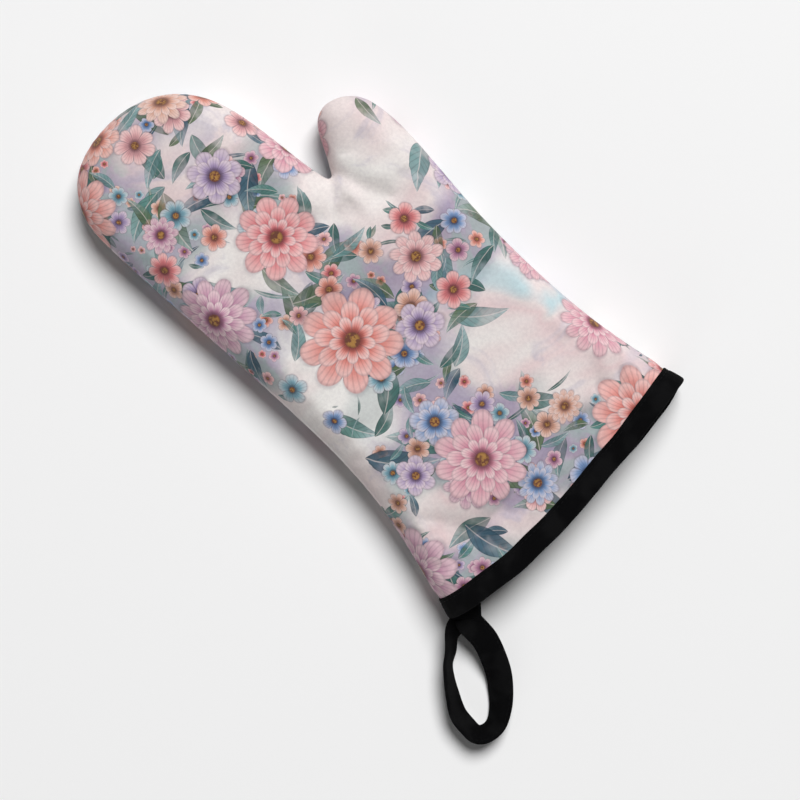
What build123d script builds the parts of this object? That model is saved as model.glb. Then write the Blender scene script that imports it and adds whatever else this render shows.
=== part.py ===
"""Oven mitt: printed shell, padding and lining, bound at the cuff, with a hanging loop.

The mitt lies flat on its back. +Y points to the fingertips, +X to the thumb and +Z up.
The origin is on the resting face, under the middle of the palm. Sizes are millimetres.
"""
from build123d import *
import math
import os
from functools import lru_cache

# Outline, seen from above
mitt_length = 324.0          # cuff corners to fingertip
cuff_width = 185.0           # across the two cuff corners
cuff_bow = 9.5               # how far the cuff edge bows out at its middle
palm_from_cuff = 130.0       # cuff corners to the origin
waist_from_cuff = 112.0      # cuff corners to the start of the flare
waist_left = 72.0            # origin line to the little-finger side at the waist
waist_right = 78.0           # origin line to the thumb side at the waist
hand_left = 78.0             # origin line to the little-finger side at the fingers
hand_width = 105.0           # across the four fingers
little_finger_radius = 38.0  # rounded corner at the little finger
tip_flat = 12.0              # straight stretch of the fingertip edge
thumb_width = 44.0           # across the thumb
thumb_gap = 12.6             # side of the fingers to the inner side of the thumb
thumb_length = 246.4         # cuff corners to the tip of the thumb
notch_from_cuff = 218.0      # cuff corners to the middle of the notch's round end
notch_radius = 2.5           # round end of the notch between hand and thumb
thumb_splay = 1.0            # how far the notch stands off the thumb's inner side

# Thickness
mitt_thickness = 35.0        # puffed, front to back, at the top of the crown
crown_rise = 1.4             # how far the front swells over its shoulders
crown_width = 100.0          # across the crown
crown_length = 220.0         # along the crown
crown_from_cuff = 105.0      # cuff corners to the top of the crown
crown_sunk = 0.2             # how far the crown reaches down into the shoulders
seam_height = 13.0           # side seam above the resting face
edge_round = 17.0            # how far in the puffed edge runs
shell_cloth = 1.0            # printed cloth
batting = 6.0                # padding
lining_cloth = 1.0           # lining cloth
batting_at_cuff = 3.0        # padding squeezed inside the binding
cuff_step = 1.5              # stretch over which the layers step into the binding

# Binding, loop and thread
binding_width = 13.0         # tape showing on each side of the cuff
tape = 0.9                   # folded tape, one wall of the binding
thread = 0.4                 # topstitch thread, sunk in the tape
thread_from_edge = 2.0       # binding's inner edge to the topstitch
loop_tape_width = 15.0       # hanging loop's tape
loop_tape = 1.6              # hanging loop's tape, folded
loop_root_in = 5.3           # cuff corner to the middle of the loop's root, across
loop_root_out = 8.3          # cuff corner to the middle of the loop's root, along
loop_heading = 227.0         # direction of the loop from its root, degrees from +X
loop_offset = 1.5            # each strand's shift to its own side at the root
strand_gap = 0.5             # between the two strands at the root, and round them
tail_length = 16.0           # sewn ends of the loop, in the cuff corner

# Folds
finger_fold_from_notch = 7.0  # notch to the fold across the fingers
thumb_fold_angle = -41.0      # fold across the thumb, degrees from +X
fold_gap = 0.4                # clear space at a fold
loop_gap = 0.3                # clear space between the loop and its tail

cuff_y = -palm_from_cuff
wall = shell_cloth + batting + lining_cloth
shell_at_cuff = tape + shell_cloth
padding_at_cuff = shell_at_cuff + batting_at_cuff
lining_at_cuff = padding_at_cuff + lining_cloth
binding_depth = lining_at_cuff + tape
lining_depth = shell_cloth + batting
step_in = min(padding_at_cuff, lining_depth)
stepped = binding_width + cuff_step
far = 2 * mitt_length


def tangent_points(first, first_radius, second, second_radius):
    """Ends of the straight side from one round to the next, body on the left.

    A round that the body fills has a positive radius, a notch a negative one.
    """
    reach = Vector(*second) - Vector(*first)
    heading = math.atan2(reach.Y, reach.X) - math.asin((second_radius - first_radius) / reach.length)
    inward = Vector(-math.sin(heading), math.cos(heading))
    return Vector(*first) - inward * first_radius, Vector(*second) - inward * second_radius, inward


def flare_center(start, inward, end):
    """Middle of the arc that leaves start along its side and runs to end."""
    chord = end - start
    return start + inward * (chord.length**2 / (2 * inward.dot(chord)))


# Rounds of the outline, each as middle and radius
fingertip_y = mitt_length - palm_from_cuff
index_radius = hand_width - little_finger_radius - tip_flat
thumb_radius = thumb_width / 2
thumb_right = hand_width - hand_left + thumb_gap + thumb_width
thumb_round = (thumb_right - thumb_radius, thumb_length - palm_from_cuff - thumb_radius)
notch_x = thumb_round[0] - thumb_radius - notch_radius - thumb_splay
notch_y = notch_from_cuff - palm_from_cuff
notch_round = (notch_x, notch_y)
index_round = (hand_width - hand_left - index_radius, fingertip_y - index_radius)
little_round = (little_finger_radius - hand_left, fingertip_y - little_finger_radius)
waist_y = waist_from_cuff - palm_from_cuff
right_waist = (waist_right, waist_y)
left_waist = (-waist_left, waist_y)
right_corner = Vector(cuff_width / 2, cuff_y)
left_corner = Vector(-cuff_width / 2, cuff_y)

# Straight sides between them, counter-clockwise from the thumb side of the cuff
waist_to_thumb = tangent_points(right_waist, 0, thumb_round, thumb_radius)
thumb_to_notch = tangent_points(thumb_round, thumb_radius, notch_round, -notch_radius)
notch_to_index = tangent_points(notch_round, -notch_radius, index_round, index_radius)
index_to_little = tangent_points(index_round, index_radius, little_round, little_finger_radius)
little_to_waist = tangent_points(little_round, little_finger_radius, left_waist, 0)
right_flare = flare_center(waist_to_thumb[0], waist_to_thumb[2], right_corner)
left_flare = flare_center(little_to_waist[1], little_to_waist[2], left_corner)


def round_edge(start, start_in, end, end_in, middle, inset):
    """Arc of the outline between two straight sides, moved in by inset."""
    halfway = (start_in + end_in).normalized()
    radius = (start - middle).dot(start_in)
    ThreePointArc(
        start + start_in * inset,
        middle + halfway * (radius + inset),
        end + end_in * inset,
    )


def outline(inset):
    """Mitt seen from above, moved in by inset and carried on past the cuff."""
    sides = [waist_to_thumb, thumb_to_notch, notch_to_index, index_to_little, little_to_waist]
    middles = [thumb_round, notch_round, index_round, little_round]
    right_in = (right_flare - right_corner).normalized() * -1
    left_in = (left_flare - left_corner).normalized() * -1
    past_cuff = 3 * cuff_bow
    right_end = right_corner + right_in * inset + right_in.rotate(Axis.Z, -90) * -past_cuff
    left_end = left_corner + left_in * inset + left_in.rotate(Axis.Z, -90) * past_cuff
    Line(right_end, right_corner + right_in * inset)
    round_edge(right_corner, right_in, *sides[0][::2], right_flare, inset)
    for side, middle, following in zip(sides, middles, sides[1:]):
        Line(side[0] + side[2] * inset, side[1] + side[2] * inset)
        round_edge(side[1], side[2], following[0], following[2], Vector(*middle), inset)
    last = sides[-1]
    Line(last[0] + last[2] * inset, last[1] + last[2] * inset)
    round_edge(last[1], last[2], left_corner, left_in, left_flare, inset)
    Line(left_corner + left_in * inset, left_end)
    Line(left_end, right_end)


def crown(inset):
    """Gentle swell on top of the front, moved in by inset."""
    across = (crown_width**2 / 4 + crown_rise**2) / (2 * crown_rise) - inset
    along = (crown_length**2 / 4 + crown_rise**2) / (2 * crown_rise) - inset
    top = mitt_thickness - inset
    half = 0.75 * crown_width
    swing = math.degrees(0.75 * crown_length / along)
    hub = Vector(0, crown_from_cuff - palm_from_cuff, top - along)
    start = Plane(hub, x_dir=(1, 0, 0), z_dir=Vector(0, -1, 0).rotate(Axis.X, -swing))
    low = along - across + math.sqrt(across**2 - half**2)
    with BuildPart() as cap:
        with BuildSketch(start):
            with BuildLine():
                swell = ThreePointArc((-half, low), (0, along), (half, low))
                Line(swell @ 1, swell @ 0)
            make_face()
        revolve(axis=Axis(hub, (1, 0, 0)), revolution_arc=2 * swing)
        split(bisect_by=Plane.XY.offset(top - crown_rise - crown_sunk), keep=Keep.TOP)
    return cap.part


@lru_cache(maxsize=None)
def envelope(inset):
    """Puffed solid of the whole mitt, moved in by inset on every side."""
    shoulder = mitt_thickness - crown_rise
    with BuildPart() as body:
        for slope in (-90, -60, -30, 0, 30, 60, 90):
            rise = math.sin(math.radians(slope))
            depth = shoulder - seam_height if slope > 0 else seam_height
            moved_in = edge_round - (edge_round - inset) * math.cos(math.radians(slope))
            with BuildSketch(Plane.XY.offset(seam_height + (depth - inset) * rise)):
                with BuildLine():
                    outline(moved_in)
                make_face()
        loft()
        add(crown(inset))
    return body.part


def cuff_edge(across, inward):
    """Height along Y of the bowed cuff edge, moved towards the fingers by inward."""
    bow_radius = ((cuff_width / 2) ** 2 + cuff_bow**2) / (2 * cuff_bow)
    return cuff_y - cuff_bow + bow_radius - math.sqrt(bow_radius**2 - across**2) + inward


def slab(start, stop):
    """Everything from start to stop, both measured in from the cuff edge."""
    side = 0.75 * cuff_width
    with BuildPart() as block:
        with BuildSketch():
            with BuildLine():
                near = ThreePointArc(
                    (-side, cuff_edge(side, start)),
                    (0, cuff_edge(0, start)),
                    (side, cuff_edge(side, start)),
                )
                if stop == far:
                    Polyline(near @ 1, (side, far), (-side, far), near @ 0)
                else:
                    away = ThreePointArc(
                        (side, cuff_edge(side, stop)),
                        (0, cuff_edge(0, stop)),
                        (-side, cuff_edge(side, stop)),
                    )
                    Line(near @ 1, away @ 0)
                    Line(away @ 1, near @ 0)
            make_face()
        extrude(amount=2 * mitt_thickness)
    return block.part


def band(outer, inner, start, stop):
    """Layer of the wall between two depths, between two distances from the cuff edge."""
    with BuildPart() as ring:
        add(envelope(outer))
        add(slab(start, stop), mode=Mode.INTERSECT)
        add(envelope(inner), mode=Mode.SUBTRACT)
    return ring.part


# The four fingers and the thumb, each from its fold outwards
finger_fold_y = notch_y + finger_fold_from_notch
thumb_fold = Vector(notch_x, notch_y - notch_radius)
thumb_fold_way = Vector(1, 0).rotate(Axis.Z, thumb_fold_angle)


def finger_zone(clearance):
    with BuildPart() as block:
        with BuildSketch():
            with Locations((notch_x, finger_fold_y + clearance)):
                Rectangle(far, far, align=(Align.MAX, Align.MIN))
        extrude(amount=2 * mitt_thickness)
    return block.part


def thumb_zone(clearance):
    slant = math.cos(math.radians(thumb_fold_angle))
    start = Vector(notch_x, thumb_fold.Y + clearance / slant)
    end = start + thumb_fold_way * far
    with BuildPart() as block:
        with BuildSketch():
            with BuildLine():
                Polyline(start, end, (end.X, far), (notch_x, far), close=True)
            make_face()
        extrude(amount=2 * mitt_thickness)
    return block.part


# Sewn ends of the hanging loop, in the side seam at the cuff corner
loop_way = Vector(1, 0).rotate(Axis.Z, loop_heading)
loop_side = loop_way.rotate(Axis.Z, 90)
loop_root = Vector(loop_root_in - cuff_width / 2, cuff_y - loop_root_out, seam_height)
tail_plane = Plane(loop_root, x_dir=loop_side, z_dir=(0, 0, 1))
tail_width = loop_tape_width + 2 * loop_offset
strand_rise = (loop_tape + strand_gap) / 2
root_radius = strand_rise + loop_tape / 2 + strand_gap / 2
with BuildPart() as loop_tail:
    with BuildSketch(tail_plane.offset(-root_radius)):
        with Locations((0, root_radius + loop_gap)):
            Rectangle(tail_width, tail_length, align=(Align.CENTER, Align.MIN))
    extrude(amount=2 * root_radius)

# Layers of the wall: depths in the body of the mitt, then the steps into the binding
layers = {
    "shell": [
        (0, shell_cloth, stepped, far),
        (0, shell_at_cuff, binding_width, stepped),
        (tape, shell_at_cuff, tape, binding_width),
    ],
    "batting": [
        (shell_cloth, lining_depth, stepped, far),
        (shell_at_cuff, step_in, binding_width, stepped),
        (shell_at_cuff, padding_at_cuff, tape, binding_width),
    ],
    "lining": [
        (lining_depth, wall, stepped, far),
        (step_in, max(wall, lining_at_cuff), binding_width, stepped),
        (padding_at_cuff, lining_at_cuff, tape, binding_width),
    ],
}
sides = {"front": Keep.TOP, "back": Keep.BOTTOM}
seam = Plane.XY.offset(seam_height)
os.makedirs("parts", exist_ok=True)

for layer, steps in layers.items():
    with BuildPart() as body:
        add(band(*steps[0]))
    with BuildPart() as cuffed:
        add(body.part)
        for step in steps[1:]:
            add(band(*step))
        add(finger_zone(-fold_gap / 2), mode=Mode.SUBTRACT)
        add(thumb_zone(-fold_gap / 2), mode=Mode.SUBTRACT)
        add(loop_tail.part, mode=Mode.SUBTRACT)
    for side, kept in sides.items():
        with BuildPart() as palm:
            add(cuffed.part)
            split(bisect_by=seam, keep=kept)
        palm.part.label = f"{side}_{layer}_palm"
        export_step(palm.part, f"parts/{side}_{layer}_palm.step")

        with BuildPart() as fingers:
            add(body.part)
            add(finger_zone(fold_gap / 2), mode=Mode.INTERSECT)
            split(bisect_by=seam, keep=kept)
        fingers.part.label = f"{side}_{layer}_fingers"
        export_step(fingers.part, f"parts/{side}_{layer}_fingers.step")

        with BuildPart() as thumb:
            add(body.part)
            add(thumb_zone(fold_gap / 2), mode=Mode.INTERSECT)
            split(bisect_by=seam, keep=kept)
        thumb.part.label = f"{side}_{layer}_thumb"
        export_step(thumb.part, f"parts/{side}_{layer}_thumb.step")

# Topstitch, one row outside and one inside the cuff, sunk in the tape
row = (binding_width - thread_from_edge - thread, binding_width - thread_from_edge)
with BuildPart() as binding_thread:
    add(band(0, thread, *row))
    add(band(binding_depth - thread, binding_depth, *row))
    add(loop_tail.part, mode=Mode.SUBTRACT)

# Bias tape folded over the raw edges of all the layers
with BuildPart() as cuff_binding:
    add(band(0, binding_depth, 0, binding_width))
    add(band(tape, lining_at_cuff, tape, binding_width), mode=Mode.SUBTRACT)
    add(binding_thread.part, mode=Mode.SUBTRACT)
    add(loop_tail.part, mode=Mode.SUBTRACT)

# Free length of the hanging loop: out along one strand, round and back along the other.
# Each station has its distance from the root, its place across, its height and its tilt.
loop_stations = [
    (0.0, -loop_offset, seam_height - strand_rise, 0),
    (9.0, -5.4, 9.6, 34),
    (20.0, -9.2, 8.6, 60),
    (34.0, -10.0, 7.9, 68),
    (47.0, -8.0, 7.4, 60),
    (57.0, -4.2, 6.7, 50),
    (64.0, 1.0, 6.1, 42),
    (67.5, 7.5, 5.3, 34),
    (62.5, 15.0, 4.5, 27),
    (52.0, 18.6, 3.8, 20),
    (40.0, 18.6, 3.8, 14),
    (26.0, 15.4, 6.8, 8),
    (11.0, 8.4, 12.4, 2),
    (0.0, loop_offset, seam_height + strand_rise, 0),
]


def loop_point(station):
    along, across, height, _ = station
    place = loop_root + loop_way * along + loop_side * across
    return Vector(place.X, place.Y, height)


points = [loop_point(station) for station in loop_stations]
runs = [(after - before).normalized() for before, after in zip(points, points[2:])]
runs = [loop_way, *runs, loop_way * -1]
with BuildPart() as hanging_loop:
    for point, run, station in zip(points, runs, loop_stations):
        outward = Vector(-run.Y, run.X).normalized() * -1
        tilt = math.radians(station[3])
        wide = outward * math.cos(tilt) + Vector(0, 0, math.sin(tilt))
        with BuildSketch(Plane(point, x_dir=wide, z_dir=run)):
            Rectangle(loop_tape_width, loop_tape)
    loft()
    with BuildSketch(Plane(loop_root, x_dir=loop_way, z_dir=loop_side).offset(-tail_width / 2)):
        Circle(root_radius)
    extrude(amount=tail_width)

for name, piece in {
    "cuff_binding": cuff_binding,
    "binding_thread": binding_thread,
    "loop_tail": loop_tail,
    "hanging_loop": hanging_loop,
}.items():
    piece.part.label = name
    export_step(piece.part, f"parts/{name}.step")
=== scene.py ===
import math

import bpy
import numpy as np
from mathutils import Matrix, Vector
from mathutils.geometry import delaunay_2d_cdt


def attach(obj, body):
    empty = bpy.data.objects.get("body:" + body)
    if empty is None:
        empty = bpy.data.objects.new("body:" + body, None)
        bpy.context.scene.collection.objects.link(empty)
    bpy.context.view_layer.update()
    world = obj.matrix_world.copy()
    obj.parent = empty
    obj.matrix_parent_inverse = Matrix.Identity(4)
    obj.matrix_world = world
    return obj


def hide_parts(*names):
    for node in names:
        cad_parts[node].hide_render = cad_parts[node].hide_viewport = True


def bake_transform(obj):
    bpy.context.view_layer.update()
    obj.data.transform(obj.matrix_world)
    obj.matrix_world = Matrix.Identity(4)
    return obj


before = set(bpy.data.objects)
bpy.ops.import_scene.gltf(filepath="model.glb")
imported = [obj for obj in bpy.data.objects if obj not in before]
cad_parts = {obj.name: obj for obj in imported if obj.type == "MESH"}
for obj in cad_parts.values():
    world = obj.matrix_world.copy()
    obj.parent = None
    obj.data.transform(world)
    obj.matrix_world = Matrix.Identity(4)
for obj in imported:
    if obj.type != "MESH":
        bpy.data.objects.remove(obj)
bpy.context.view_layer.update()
scene = bpy.context.scene
scene.view_settings.view_transform = "Standard"
print("frame loaded")

# outline of the flat panel in millimetres, from the little-finger cuff corner round to the thumb cuff corner
outlineMm = [
    (-92.5, -130), (-87.2, -110), (-82.2, -92), (-77.9, -75), (-74.6, -57), (-72.7, -38), (-71.9, -18),
    (-72.1, 4), (-73.3, 40), (-75.1, 78), (-77, 116), (-78, 146), (-77.4, 160), (-74.3, 170.6),
    (-68.9, 179.3), (-62.1, 185.9), (-53.3, 190.4), (-42, 193.2), (-29.7, 194), (-18, 192.9), (-7, 189.7),
    (3, 184.3), (11.4, 176.8), (18, 167.6), (22.6, 157.2), (25.6, 145.6), (27.6, 132.6), (29.2, 119),
    (30.6, 105), (32.4, 93.5), (33.4, 88.6), (34.3, 86.5), (35.4, 86.1), (36.6, 87.1), (38.3, 89.7),
    (42.1, 96.3), (45.8, 103.8), (49.2, 110.4), (53.5, 115.3), (59.7, 117), (66.4, 115.9), (72.9, 112.4),
    (78.2, 107.2), (81.3, 100.3), (82.7, 92), (83.6, 79), (82.9, 64), (81.4, 47), (79.8, 29), (78.6, 12),
    (78.1, -4), (78, -20), (78.4, -36), (79.2, -52), (80.6, -67.5), (82.6, -82.5), (85.2, -97.5),
    (88.4, -113), (92.5, -130),
]
pad = {
    "cuffHalf": 0.0925, "cuffLine": -0.130, "cuffBow": 0.0095,
    "rimBack": 0.0012,             # cloth layers stop this far inside the tape's rim
    "seam": 0.013,                 # height of the side seam over the table
    "front": 0.0182, "back": 0.013, "edgeRound": 0.017,
    "cuffFront": 0.0206, "crown": 0.0008, "crownReach": 0.046,
    "rows": (0, 0.0007, 0.0018, 0.0034, 0.0056, 0.0086, 0.012),   # rings beside the seam
    "step": 0.0034,                # spacing of the points between them
    "notch": (0.0354, 0.0861), "foldWay": (0.754710, -0.656059),
    "fullness": 2.3,               # 2 rounds the edge as an ellipse, more fills it out
}
rim = {   # millimetres across the cuff, and how far each rim runs off its even bow
    "front": [
        (-95, -1.0), (-82, -1.3), (-70, -1.6), (-56, -2.0), (-42, -1.9), (-28, -1.0), (-14, -0.5),
        (0, -0.2), (12, 0.8), (26, 1.4), (42, 1.5), (60, 1.5), (76, 1.3), (86, 0.5), (95, -1.3),
    ],
    "back": [
        (-95, -1.0), (-82, -1.6), (-70, -2.0), (-56, -2.3), (-42, -2.2), (-28, -1.0), (-14, 0.4),
        (0, 0.5), (12, 0.1), (26, -0.9), (42, -1.3), (60, -2.2), (76, -2.8), (86, -2.2), (95, -1.3),
    ],
}


def smooth(value, low, high):
    share = np.clip((np.asarray(value, float) - low) / (high - low), 0, 1)
    return share * share * (3 - 2 * share)


def cuffCurve(x):
    return pad["cuffLine"] - pad["cuffBow"] * (1 - (np.asarray(x) / pad["cuffHalf"]) ** 2)


def throughPoints(points, perSpan):   # a smooth line that meets every point
    pts = np.array(points, float)
    pts = np.vstack([2 * pts[0] - pts[1], pts, 2 * pts[-1] - pts[-2]])
    line = []
    for i in range(1, len(pts) - 2):
        a, b, c, d = pts[i - 1:i + 3]
        knots = [0]
        for p, q in ((a, b), (b, c), (c, d)):
            knots.append(knots[-1] + max(np.linalg.norm(q - p), 1e-9) ** 0.5)
        t0, t1, t2, t3 = knots
        for t in np.linspace(t1, t2, perSpan, endpoint=False):
            ab = (a * (t1 - t) + b * (t - t0)) / (t1 - t0)
            bc = (b * (t2 - t) + c * (t - t1)) / (t2 - t1)
            cd = (c * (t3 - t) + d * (t - t2)) / (t3 - t2)
            abc = (ab * (t2 - t) + bc * (t - t0)) / (t2 - t0)
            bcd = (bc * (t3 - t) + cd * (t - t1)) / (t3 - t1)
            line.append((abc * (t2 - t) + bcd * (t - t1)) / (t2 - t1))
    line.append(pts[-2])
    return np.array(line)


def lengths(line):
    return np.concatenate([[0], np.cumsum(np.linalg.norm(np.diff(line, axis=0), axis=1))])


def unit(ways):
    return ways / np.linalg.norm(ways, axis=1)[:, None]


def kink(line):
    return 0.25 * line[:-2] - 0.5 * line[1:-1] + 0.25 * line[2:]


def nearest(line, point):
    return int(np.argmin(np.linalg.norm(line - np.array(point), axis=1)))


def headed(degrees):   # ways ahead and to the left
    across, up = math.cos(math.radians(degrees)), math.sin(math.radians(degrees))
    return np.array([across, up]), np.array([-up, across])


def sidesOf(polys):
    return [(a, b) for p in polys for a, b in zip(p, p[1:] + p[:1])]


def spaced(line, stations):
    run = lengths(line)
    return np.stack([np.interp(stations, run, line[:, k]) for k in range(line.shape[1])], axis=1)


def gapTo(points, line, chunk=1500):   # distance to the line, some points at a time
    a, b = line[:-1], line[1:]
    best = np.full(len(points), 1e9)
    for start in range(0, len(points), chunk):
        p = points[start:start + chunk, None, :]
        along = np.clip(((p - a) * (b - a)).sum(2) / ((b - a) ** 2).sum(1), 0, 1)
        best[start:start + chunk] = np.sqrt((((a + along[..., None] * (b - a)) - p) ** 2).sum(2).min(1))
    return best


def inside(points, polygon):
    x, y = points[:, 0], points[:, 1]
    hit = np.zeros(len(points), bool)
    for (ax, ay), (bx, by) in zip(polygon, np.roll(polygon, -1, axis=0)):
        crosses = (ay > y) != (by > y)
        hit ^= crosses & (x < ax + (bx - ax) * (y - ay) / (by - ay if by != ay else 1e-12))
    return hit


rimLines = {side: throughPoints(points, 8) / 1000 for side, points in rim.items()}


def rimShift(x, high, side):
    off = {name: np.interp(x, line[:, 0], line[:, 1]) for name, line in rimLines.items()}
    shared = (off["front"] + off["back"]) / 2
    return shared + (off[side] - shared) * high


# flat panel: rings of quads beside the seam, triangles between them, one cut that parts the thumb from the
# rest
layout = {
    "perSpan": 24,       # points on each span of the outline
    "stationStep": 0.0008, "wider": 0.0021, "widens": (0.004, 0.03),   # stations stand closer by the notch
    "lookRound": 0.0006, "calmFrom": (0.010, 0.022), "calmTurns": 10, "calmEdge": 0.6,
    "cuffTurn": 0.016,   # rows turn along the cuff over this length
    "cuffPoints": 58, "sideCut": (0.081, 0.0425), "cutBow": (-0.004, -0.004), "cutSpan": 8,
    "halfWide": 0.11, "lowest": -0.15, "tall": 0.36, "rowRise": 0.866,
    "clearEdge": 0.62, "clearCut": 0.6,   # in steps of the grid
}
fine = throughPoints(np.array(outlineMm) / 1000, layout["perSpan"])
run = lengths(fine)
notchRun = run[nearest(fine, pad["notch"])]
stations = [0.0]
while stations[-1] < run[-1] - layout["stationStep"]:
    widened = float(smooth(abs(stations[-1] - notchRun), *layout["widens"]))
    stations.append(stations[-1] + layout["stationStep"] + layout["wider"] * widened)
stations = np.array(stations) * (run[-1] / stations[-1])
edge = spaced(fine, stations)
count = len(edge)
before, after = (spaced(fine, np.clip(stations + sign * layout["lookRound"], 0, run[-1])) for sign in (-1, 1))
way = unit(after - before)
inward = np.stack([way[:, 1], -way[:, 0]], axis=1)
calm = smooth(abs(stations - notchRun), *layout["calmFrom"])[1:-1, None]   # the notch keeps its sharp turn
for turn in range(layout["calmTurns"]):
    inward[1:-1] += calm * kink(inward)
    edge[1:-1] += layout["calmEdge"] * calm * kink(edge)
cuffSlope = 2 * pad["cuffBow"] / pad["cuffHalf"]
for end, sign in ((0, 1), (-1, -1)):
    share = 1 - smooth(abs(stations - stations[end]), 0, layout["cuffTurn"])[:, None]
    alongCuff = np.array([sign, -cuffSlope]) / math.hypot(1, cuffSlope)
    inward = inward * (1 - share) + alongCuff * share
inward = unit(inward)
# the seam carried on past the cuff's corners
reach = np.vstack([edge[0] + (edge[0] - edge[3]) * 4, edge, edge[-1] + (edge[-1] - edge[-4]) * 4])
rows = np.array(pad["rows"])
rings = [edge + inward * row for row in rows]
for ring in rings:
    for end in (0, -1):
        ring[end, 1] = cuffCurve(ring[end, 0]) + pad["rimBack"]
flat = np.vstack(rings)
gaps = np.repeat(rows, count)
along = np.tile(stations, len(rows))
last = (len(rows) - 1) * count
innerLoop = list(range(last, last + count))
cuffX = np.linspace(flat[last + count - 1, 0], flat[last, 0], layout["cuffPoints"])[1:-1]
cuffPts = np.stack([cuffX, cuffCurve(cuffX) + pad["rimBack"]], axis=1)
iNotch, iSide = nearest(edge, pad["notch"]), nearest(edge, layout["sideCut"])
cutEnds = flat[[last + iNotch, last + iSide]]
cutMid = (cutEnds[0] + cutEnds[1]) / 2 + np.array(layout["cutBow"])
cutLine = throughPoints([cutEnds[0], cutMid, cutEnds[1]], layout["cutSpan"])[1:-1]
polygon = np.vstack([flat[innerLoop], cuffPts])
step = pad["step"]
grid = []
for j in range(int(layout["tall"] / (step * layout["rowRise"]))):
    xs = np.arange(-layout["halfWide"], layout["halfWide"], step) + (step / 2 if j % 2 else 0)
    grid.append(np.stack([xs, np.full(len(xs), layout["lowest"] + j * step * layout["rowRise"])], axis=1))
grid = np.vstack(grid)
grid = grid[inside(grid, polygon)]
grid = grid[gapTo(grid, np.vstack([polygon, polygon[:1]])) > step * layout["clearEdge"]]
grid = grid[gapTo(grid, np.vstack([cutEnds[:1], cutLine, cutEnds[1:]])) > step * layout["clearCut"]]
firstCuff = len(flat)
firstCut = firstCuff + len(cuffPts)
extra = np.vstack([cuffPts, cutLine, grid])
flat = np.vstack([flat, extra])
gaps = np.concatenate([gaps, gapTo(extra, reach)])
along = np.concatenate([along, np.zeros(len(extra))])
total = len(flat)

used = innerLoop + list(range(firstCuff, total))
place = {v: k for k, v in enumerate(used)}
loop = [place[v] for v in innerLoop + list(range(firstCuff, firstCut))]
cutChain = [last + iNotch] + list(range(firstCut, firstCut + len(cutLine))) + [last + iSide]
bars = list(zip(loop, loop[1:] + loop[:1]))
bars += [(place[a], place[b]) for a, b in zip(cutChain[:-1], cutChain[1:])]
cells = delaunay_2d_cdt([Vector(flat[v] * 1000) for v in used], bars, [loop[::-1]], 1, 1e-5)
source = [used[ids[0]] for ids in cells[3]]
faces, thumbFace = [], []
for k in range(len(rows) - 1):
    for i in range(count - 1):
        faces.append((k * count + i, (k + 1) * count + i, (k + 1) * count + i + 1, k * count + i + 1))
        thumbFace.append(iNotch <= i < iSide)
thumbRound = flat[[last + i for i in range(iNotch, iSide + 1)] + cutChain[-2:0:-1]]
for cell in cells[2]:
    ids = [source[v] for v in cell]
    a, b, c = flat[ids]
    if np.cross(b - a, c - a) < 0:
        ids = ids[::-1]
    faces.append(tuple(ids))
    thumbFace.append(bool(inside(flat[ids].mean(0)[None], thumbRound)[0]))
thumbFace = np.array(thumbFace)
print("flat panel:", total, "points,", len(faces), "faces")

# heights over the flat panel
swell = {
    "cuffFade": (0.014, 0.034), "tuckFade": (0.0135, 0.021), "rimFade": (0.02, 0.075),
    "crownFrom": 0.012, "settleTurns": 60,
    "tipDrop": 0.0012, "tipRun": (0.12, 0.19),
    "thumbDrop": 0.0006, "thumbAcross": (0.045, 0.065), "thumbAlong": (0.05, 0.09),
    "creaseStart": (-0.008, 0.004), "creaseHold": 0.25, "creaseWiden": (0.6, 0.9),
    "creases": [   # start, heading, length, width, height: dips and rises by the notch and above the cuff
        ((0.0350, 0.0850), 224, 0.034, 0.0046, -0.0030),
        ((0.0362, 0.0846), 268, 0.044, 0.0036, 0.0018),
        ((0.0372, 0.0846), 291, 0.058, 0.0058, -0.0030),
        ((0.0340, 0.0850), 190, 0.036, 0.0060, 0.0008),
        ((-0.0560, -0.1170), 78, 0.052, 0.0080, -0.0010),
        ((0.0180, -0.1220), 96, 0.060, 0.0100, -0.0009),
        ((0.0600, -0.1150), 104, 0.050, 0.0075, -0.0009),
        ((-0.0180, -0.1220), 86, 0.046, 0.0080, 0.0007),
    ],
}
pairs = np.array([ends for p, q in sidesOf(faces) for ends in ((p, q), (q, p))])
degree = np.bincount(pairs[:, 0], minlength=total)


def settled(values, turns):
    for turn in range(turns):
        mean = np.bincount(pairs[:, 0], values[pairs[:, 1]], minlength=total) / degree
        values = 0.5 * values + 0.5 * mean
    return values


def crease(points, start, heading, length, width, depth):
    ahead, left = headed(heading)
    forward, sideways = (points - np.array(start)) @ ahead, (points - np.array(start)) @ left
    fade = smooth(forward, *swell["creaseStart"])
    fade = fade * (1 - smooth(forward, length * swell["creaseHold"], length))
    narrow, widens = swell["creaseWiden"]
    spread = width * (narrow + widens * np.clip(forward / length, 0, 1))
    return depth * fade * np.exp(-(sideways / spread) ** 2)


def folds(points):
    return sum(crease(points, *facts) for facts in swell["creases"])


fromCuff = flat[:, 1] - cuffCurve(flat[:, 0])
bound = 1 - smooth(fromCuff, *swell["cuffFade"])
lift = pad["crown"] * smooth(gaps, swell["crownFrom"], pad["crownReach"])
lift -= swell["tipDrop"] * smooth(flat[:, 1], *swell["tipRun"])
thumbDrop = swell["thumbDrop"] * smooth(flat[:, 0], *swell["thumbAcross"])
lift -= thumbDrop * smooth(flat[:, 1], *swell["thumbAlong"])
lift = settled(lift, swell["settleTurns"]) * (1 - bound)
foldLift = folds(flat)
frontDepth = pad["front"] + (pad["cuffFront"] - pad["front"]) * bound


def atCuff(body, cuff):
    return body + (cuff - body) * (1 - smooth(fromCuff, *swell["tuckFade"]))


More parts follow.
